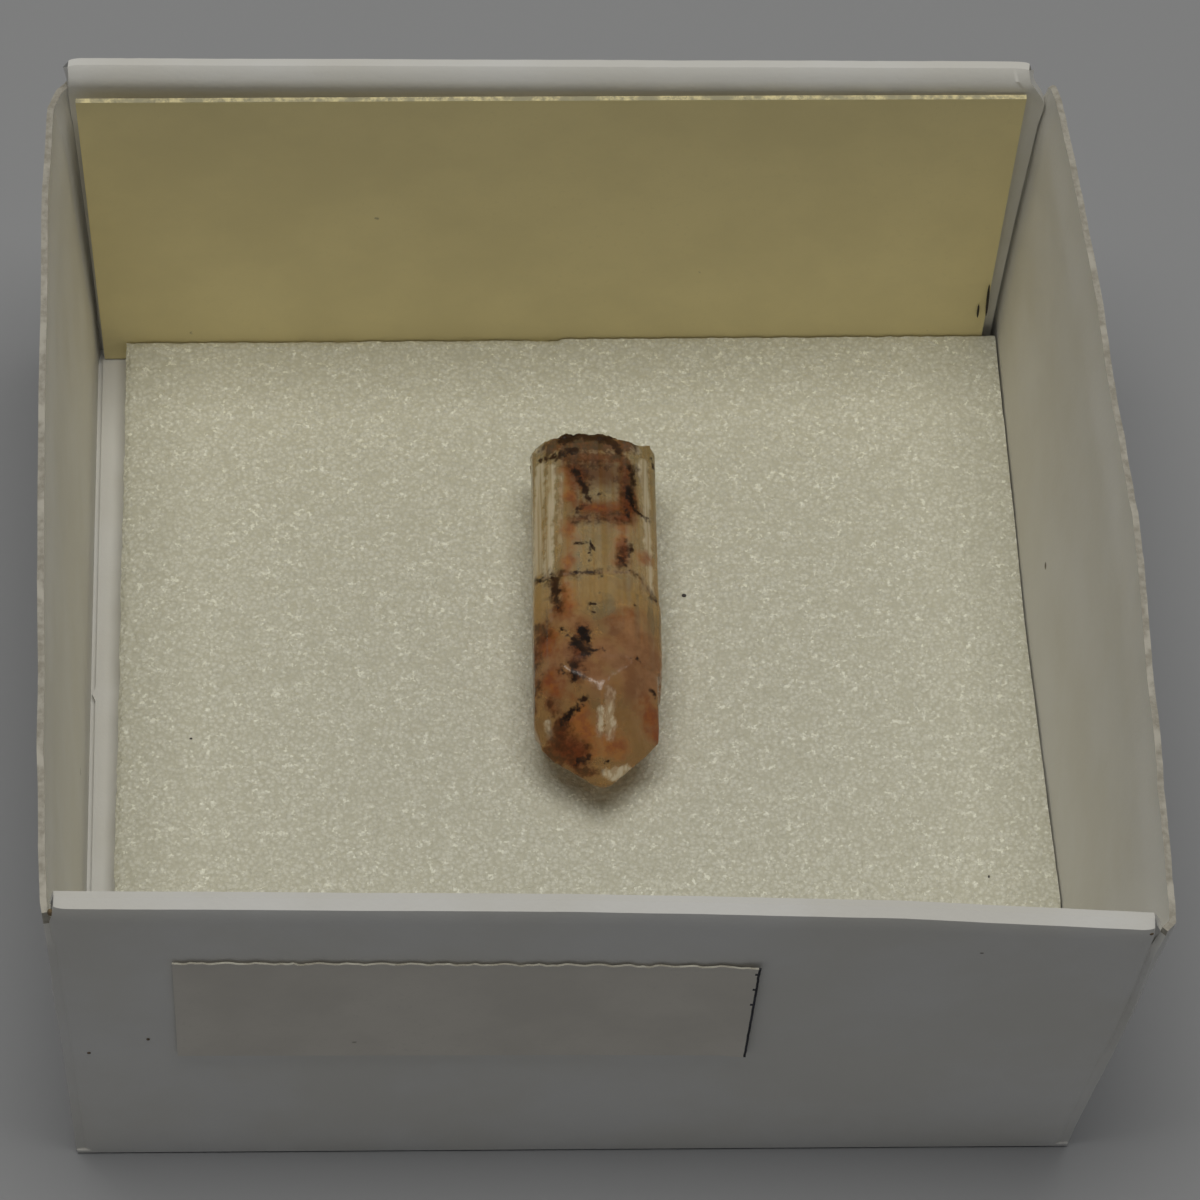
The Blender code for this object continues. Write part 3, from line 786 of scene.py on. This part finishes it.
class BuildTray(bpy.types.Operator):
    """Fold the card tray with its raw cut edges and slit creases"""

    bl_idname = "topaz.build_tray"
    bl_label = "Card tray"

    def execute(self, context):
        leaf = context.scene.topaz_tray.leaf
        card = card_finish()
        edge = cut_edge_finish("cut card edge", *CARD_EDGE)
        parts = [self.leaf_of_floor("underside", 0.18, 0.18, 0.03, card, edge)]
        parts.append(self.leaf_of_floor("lining", 0.45, 0.26, leaf + 0.06, card, edge))
        front = fold_sheet(FRONT_WALL, front_face_y, 1, FRONT_SHORT, 0.05)
        parts.append(solidified("front", front, leaf, card, edge))
        back = fold_sheet(BACK_WALL, back_face_y, -1, BACK_SHORT, 0.35)
        bmesh.ops.reverse_faces(back, faces=back.faces)
        parts.append(solidified("back", back, leaf, card, edge))
        for name, rows, side in (("left", LEFT_WALL, -1), ("right", RIGHT_WALL, 1)):
            sheet = side_sheet(rows, side)
            if side < 0:
                bmesh.ops.reverse_faces(sheet, faces=sheet.faces)
            wall = solidified(name, sheet, leaf, card, edge)
            self.thin_top(wall)
            parts.append(wall)
        for part in parts:
            raw_above = RAW_ABOVE if part.name in ("left", "right") else math.inf
            self.face_with_white(settle(part), raw_above)
        parts.append(bits("wall dirt", WALL_DIRT, cut_edge_finish("brown dirt", *BROWN_DIRT)))
        tray = join("folded_card_tray", parts)
        smooth(tray, 40)
        claim(tray, "card_tray")
        return {"FINISHED"}

    def leaf_of_floor(self, name, top, thick, inset, card, edge):
        """A flat sheet whose side edges keep a distance from the side walls' outer faces."""
        def shape(u, v):
            y = lerp((-1.0, 1.0), v) * (TRAY_SIDE / 2 - max(inset, 0.03))
            left = inset - side_outer(LEFT_WALL, y, 0.0)
            right = side_outer(RIGHT_WALL, y, 0.0) - inset
            gap = 0.14 * smoothstep(0.30, 0.45, top) * smoothstep(0.02, 0.10, abs(y - 1.6))
            return lerp((left + gap, right), u), y, top

        return solidified(name, grid(*FLOOR_GRID, shape), thick, card, edge)

    def face_with_white(self, part, raw_above):
        """The raw core only shows above a height."""
        for polygon in part.data.polygons:
            if polygon.center.z < raw_above * MM:
                polygon.material_index = 0

    def thin_top(self, wall):
        """The raw upper edge is pressed thinner than the leaf."""
        group = wall.vertex_groups.new(name="leaf")
        for vert in wall.data.vertices:
            group.add([vert.index], 1.0 - smoothstep(*PRESSED, vert.co.z / MM), "REPLACE")
        shell = wall.modifiers["thickness"]
        shell.vertex_group = group.name
        shell.thickness_vertex_group = PRESSED_SHARE


class BuildFoam(bpy.types.Operator):
    """Cut the thin foam pad with its cells and wavering edge"""

    bl_idname = "topaz.build_foam"
    bl_label = "Foam pad"

    def execute(self, context):
        def shape(u, v):
            y = lerp((FOAM_FRONT, lerp(FOAM_BACK, u)), v)
            right = side_outer(RIGHT_WALL, y, FOAM_TOP) - context.scene.topaz_tray.leaf - 0.10
            x = lerp((along_rows(FOAM_LEFT, y)[0], right), u)
            rim = min(min(u, 1 - u) * 38.0, min(v, 1 - v) * 37.0)
            wave = abs(waver((x, y, 0.0), 3.0, 0.10)) + abs(waver((x, y, 4.0), 0.6, 0.08))
            wave *= 1.0 if u < 0.5 else 0.2
            x -= math.copysign(smoothstep(1.0, 0.0, rim) * wave, u - 0.5)
            grain = waver((x, y, 1.0), 0.30, 0.06) + waver((x, y, 7.0), 0.85, 0.05)
            z = FOAM_TOP - 0.06 + grain - (0.16 if u < 0.5 else 0.06) * smoothstep(0.25, 0.0, rim)
            beside = math.hypot((x - DENT_AT[0]) / 2.6, max(abs(y - DENT_AT[1]) - 6.0, 0.0) / 1.4)
            return x, y, min(z, FOAM_TOP) - DENT_DEPTH * smoothstep(1.2, 0.7, beside)

        bm = grid(*FOAM_GRID, shape)
        rim = [edge for edge in bm.edges if edge.is_boundary]
        made = bmesh.ops.extrude_edge_only(bm, edges=rim)
        for vert in (item for item in made["geom"] if isinstance(item, bmesh.types.BMVert)):
            vert.co.z = FOAM_BOTTOM * MM
            vert.co.x -= math.copysign(FOAM_UNDERCUT * MM, vert.co.x)
        bmesh.ops.holes_fill(bm, edges=[edge for edge in bm.edges if edge.is_boundary])
        bmesh.ops.recalc_face_normals(bm, faces=bm.faces)
        dirt = bits("foam dirt", FOAM_DIRT, cut_edge_finish("dark dirt", *DARK_DIRT))
        foam = join("thin_foam_pad", [thing("foam sheet", bm, foam_finish()), dirt])
        smooth(foam, 50)
        claim(foam, "foam_pad")
        return {"FINISHED"}


class BuildNameCard(bpy.types.Operator):
    """Stand the blank cream card against the back wall"""

    bl_idname = "topaz.build_name_card"
    bl_label = "Name card"

    def execute(self, context):
        low_left, low_right, top_right, top_left = NAME_CARD_OUTLINE

        def shape(u, v):
            low = (lerp((low_left[0], low_right[0]), u), lerp((low_left[1], low_right[1]), u))
            high = (lerp((top_left[0], top_right[0]), u), lerp((top_left[1], top_right[1]), u))
            x = lerp((low[0], high[0]), v)
            z = lerp((low[1], high[1]), v) - abs(waver((x, 0.0, 0.0), 0.7, 0.03)) * v
            front = lerp(NAME_CARD_BACK, x / TRAY_SIDE + 0.5) - NAME_CARD_THICK
            return x, front + 0.02 * math.sin(math.pi * u) * v, z

        colour = tuple(context.scene.topaz_tray.paper_colour)
        pale = tuple(part * share for part, share in zip(colour, (0.42, 0.44, 0.52)))
        card = solidified("card sheet", grid(*NAME_CARD_GRID, shape), NAME_CARD_LEAF,
                          paper_finish("cream paper", colour, 0.07, 0.5),
                          cut_edge_finish("cream edge", pale, colour))
        nicks = bits("nicks", CARD_NICKS, cut_edge_finish("dark nicks", *DARK_NICK))
        card = join("blank_name_card", [card, nicks])
        smooth(card, 40)
        claim(card, "name_card")
        return {"FINISHED"}


class BuildSticker(bpy.types.Operator):
    """Stick the blank torn label on the front wall"""

    bl_idname = "topaz.build_sticker"
    bl_label = "Sticker"

    def execute(self, context):
        def shape(u, v):
            right = lerp((STICKER_RIGHT[1], STICKER_RIGHT[0]), v)
            frayed = abs(waver((0.0, v * 7.0, 2.0), 0.5, 0.05)) * smoothstep(0.98, 1.0, u)
            x = lerp((STICKER_LEFT, right), u) - frayed
            tooth = 0.10 * (0.5 + 0.5 * math.sin(math.pi * STICKER_TEETH * u))
            tooth += abs(waver((x, 3.0, 0.0), 0.5, 0.14))
            z = lerp((lerp(STICKER_BOTTOM, u), lerp(STICKER_TOP, u) - tooth * smoothstep(0.97, 1.0, v)), v)
            lift = 0.08 * smoothstep(0.95, 1.0, u) + 0.04 * smoothstep(0.97, 1.0, v)
            return x, front_face_y(x, z) - CLEAR - 0.03 - lift, z

        colour = tuple(context.scene.topaz_tray.sticker_colour)
        label = solidified("blank_sticker", grid(*STICKER_GRID, shape), STICKER_LEAF,
                           paper_finish("sticker paper", colour, 0.10, 0.5),
                           cut_edge_finish("torn paper", *TORN_PAPER))
        settle(label)
        # Painted shadow: a dark rim down the sticker's right end, where it lifts off the wall
        label.data.materials.append(cut_edge_finish("painted shadow at sticker end", *PAINTED_SHADOW_EDGE))
        for polygon in label.data.polygons:
            height = (polygon.center.z / MM - STICKER_BOTTOM[1]) / (STICKER_TOP[1] - STICKER_BOTTOM[1])
            ragged = waver(polygon.center / MM, 0.4, 0.06)
            if polygon.center.x > (lerp((STICKER_RIGHT[1], STICKER_RIGHT[0]), height) - 0.13 + ragged) * MM:
                polygon.material_index = 2
        smooth(label, 40)
        claim(label, "number_sticker")
        return {"FINISHED"}


def stroke_gap(x, y, strokes):
    """Distance from the nearest stroke's edge: below zero is inside it."""
    best = 9.0
    for x1, y1, x2, y2, half in strokes:
        run_x, run_y = x2 - x1, y2 - y1
        square = run_x * run_x + run_y * run_y
        share = 0.0 if square == 0 else min(max(((x - x1) * run_x + (y - y1) * run_y) / square, 0.0), 1.0)
        best = min(best, math.hypot(x - x1 - share * run_x, y - y1 - share * run_y) - half)
    return best


def stain_field(point, strokes, seed, rarity):
    """The strokes lie on the upper side; the hidden sides get stains of the same kind."""
    upper = smoothstep(3.0, 4.2, point.z)
    drawn = stroke_gap(point.x, point.y, strokes)
    spread = rarity + 2.4 * noise.noise(Vector((point.x / 1.2 + seed, point.y / 1.9, point.z / 1.2)))
    return drawn * upper + min(spread, drawn + 0.4) * (1.0 - upper)


# Each stain's strokes, its noise's seed, and how rare it is on the hidden sides
STAINS = {
    "iron": (IRON_STROKES, 4.0, 1.20),
    "umber": (UMBER_STROKES, 8.0, 1.10),
    "rust": (RUST_STROKES, 12.0, 0.95),
    "mauve": (MAUVE_STROKES, 16.0, 0.85),
    "milk_and_painted_sheen": (MILK_AND_PAINTED_SHEEN_STROKES, 20.0, 0.70),
}


class BuildCrystal(bpy.types.Operator):
    """Refine the striated crystal and stain it"""

    bl_idname = "topaz.build_crystal"
    bl_label = "Topaz crystal"

    def execute(self, context):
        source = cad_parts["topaz_crystal"]
        low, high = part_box("topaz_crystal")
        bm = bmesh.new()
        bm.from_mesh(source.data)
        bmesh.ops.remove_doubles(bm, verts=bm.verts, dist=1e-6)
        bmesh.ops.dissolve_limit(bm, angle_limit=math.radians(0.4), verts=bm.verts, edges=bm.edges)
        self.slice(bm, low, high, context.scene.topaz_tray.slices)
        for _ in range(CRYSTAL_SMOOTHINGS):
            bmesh.ops.smooth_vert(bm, verts=bm.verts, factor=0.5,
                                  use_axis_x=True, use_axis_y=True, use_axis_z=True)
        bm.normal_update()
        self.weather(bm, high.y / MM)
        fields = {}
        for name, (strokes, seed, rarity) in STAINS.items():
            fields[name] = [stain_field(vert.co / MM, strokes, seed, rarity) for vert in bm.verts]
        crystal = thing("stained_topaz_crystal", bm, topaz_finish())
        for name, values in fields.items():
            crystal.data.attributes.new(name, "FLOAT", "POINT").data.foreach_set("value", values)
        smooth(crystal, 50)
        claim(crystal, "topaz_crystal")
        return {"FINISHED"}

    def slice(self, bm, low, high, slices):
        """Cut the solid into small faces without changing its shape."""
        for axis, count in ((1, slices), (0, slices // 3), (2, slices // 4)):
            normal = Vector([1.0 if axis == k else 0.0 for k in range(3)])
            for step in range(1, count):
                bmesh.ops.bisect_plane(bm, geom=bm.verts[:] + bm.edges[:] + bm.faces[:], dist=1e-7,
                                       plane_co=low + (high - low) * (step / count), plane_no=normal)
        bmesh.ops.remove_doubles(bm, verts=bm.verts, dist=4e-6)
        bmesh.ops.triangulate(bm, faces=bm.faces)
        bmesh.ops.recalc_face_normals(bm, faces=bm.faces)

    def weather(self, bm, root):
        """Roughen the broken root, open the crack, wear the faces, and cut the notch and the corners."""
        for vert in bm.verts:
            point = vert.co / MM
            fine = noise.noise(point * 3.1) * 0.012 + noise.noise(point * 9.0) * 0.006
            rough = smoothstep(root - 0.9, root - 0.3, point.y)
            fine += rough * 0.16 * noise.noise(point * 2.2) + rough * 0.06 * noise.noise(point * 8.0)
            crack = math.exp(-((point.y - CRACK_Y - 0.10 * noise.noise(point * 0.9)) / 0.06) ** 2)
            vert.co += vert.normal * (fine - 0.025 * crack - 0.02 - 0.03 * rough) * MM
            notch = smoothstep(-0.70, -0.82, point.y) * smoothstep(-3.5, -2.9, point.y)
            vert.co.x -= 0.17 * notch * smoothstep(2.6, 3.8, point.x) * MM
            corner = smoothstep(-2.7, -3.5, point.y) * smoothstep(-4.6, -3.9, point.y)
            vert.co.x += 0.24 * corner * smoothstep(-0.5, -1.3, point.x) * MM
            vert.co.x -= 0.12 * smoothstep(-2.9, -3.4, point.y) * smoothstep(3.2, 3.9, point.x) * MM


class BuildStage(bpy.types.Operator):
    """Set the pale floor, soft studio light and camera"""

    bl_idname = "topaz.build_stage"
    bl_label = "Stage"

    def execute(self, context):
        bm = bmesh.new()
        bmesh.ops.create_grid(bm, x_segments=1, y_segments=1, size=FLOOR_HALF)
        bmesh.ops.translate(bm, vec=(0.0, 0.0, -FLOOR_DROP), verts=bm.verts)
        thing("floor", bm, floor_finish())
        world = bpy.data.worlds.new("studio")
        world.use_nodes = True
        background = world.node_tree.nodes["Background"]
        background.inputs["Color"].default_value = SKY_COLOUR
        background.inputs["Strength"].default_value = SKY_STRENGTH
        context.scene.world = world
        self.light("overhead", LAMP_AT, LAMP_SIZE, LAMP_POWER, LAMP_COLOUR)
        self.camera(context)
        view = context.scene.view_settings
        view.view_transform = "Standard"
        view.look = "None"
        return {"FINISHED"}

    def light(self, name, place, size, power, colour):
        lamp = bpy.data.lights.new(name, "AREA")
        lamp.shape = "RECTANGLE"
        lamp.size, lamp.size_y = size
        lamp.energy = power
        lamp.color = colour
        made = bpy.data.objects.new(name, lamp)
        made.location = place
        bpy.context.scene.collection.objects.link(made)

    def camera(self, context):
        pitch, yaw, roll = (math.radians(angle) for angle in (CAMERA_PITCH, CAMERA_YAW, CAMERA_ROLL))
        ahead = Vector((math.sin(yaw) * math.cos(pitch), math.cos(yaw) * math.cos(pitch), -math.sin(pitch)))
        level = Vector((math.cos(yaw), -math.sin(yaw), 0.0))
        rise = level.cross(ahead)
        right = level * math.cos(roll) + rise * math.sin(roll)
        up = rise * math.cos(roll) - level * math.sin(roll)
        lens = bpy.data.cameras.new("photo_view")
        lens.lens = LENS
        lens.sensor_width = SENSOR_WIDTH
        lens.sensor_fit = "HORIZONTAL"
        lens.clip_start = 0.01
        lens.clip_end = 10.0
        made = bpy.data.objects.new("photo_view", lens)
        turn = Matrix((right, up, -ahead)).transposed().to_4x4()
        made.matrix_world = Matrix.Translation(mm(*CAMERA_AT)) @ turn
        context.scene.collection.objects.link(made)
        context.scene.camera = made


class TopazPanel(bpy.types.Panel):
    """Lists the parts of the specimen in the sidebar"""

    bl_idname = "VIEW3D_PT_topaz_tray"
    bl_label = "Topaz in a tray"
    bl_space_type = "VIEW_3D"
    bl_region_type = "UI"
    bl_category = "Topaz"

    def draw(self, context):
        column = self.layout.column()
        for name in TopazTraySettings.__annotations__:
            column.prop(context.scene.topaz_tray, name)
        for step in STEPS:
            column.operator(step.bl_idname)


STEPS = (BuildStage, BuildTray, BuildFoam, BuildNameCard, BuildSticker, BuildCrystal)


def register():
    for kind in (TopazTraySettings, *STEPS, TopazPanel):
        bpy.utils.register_class(kind)
    bpy.types.Scene.topaz_tray = PointerProperty(type=TopazTraySettings)


def unregister():
    del bpy.types.Scene.topaz_tray
    for kind in reversed((TopazTraySettings, *STEPS, TopazPanel)):
        bpy.utils.unregister_class(kind)


def main():
    register()
    bpy.ops.topaz.build_stage()
    bpy.ops.topaz.build_tray()
    bpy.ops.topaz.build_foam()
    bpy.ops.topaz.build_name_card()
    bpy.ops.topaz.build_sticker()
    bpy.ops.topaz.build_crystal()


if __name__ == "__main__":
    main()
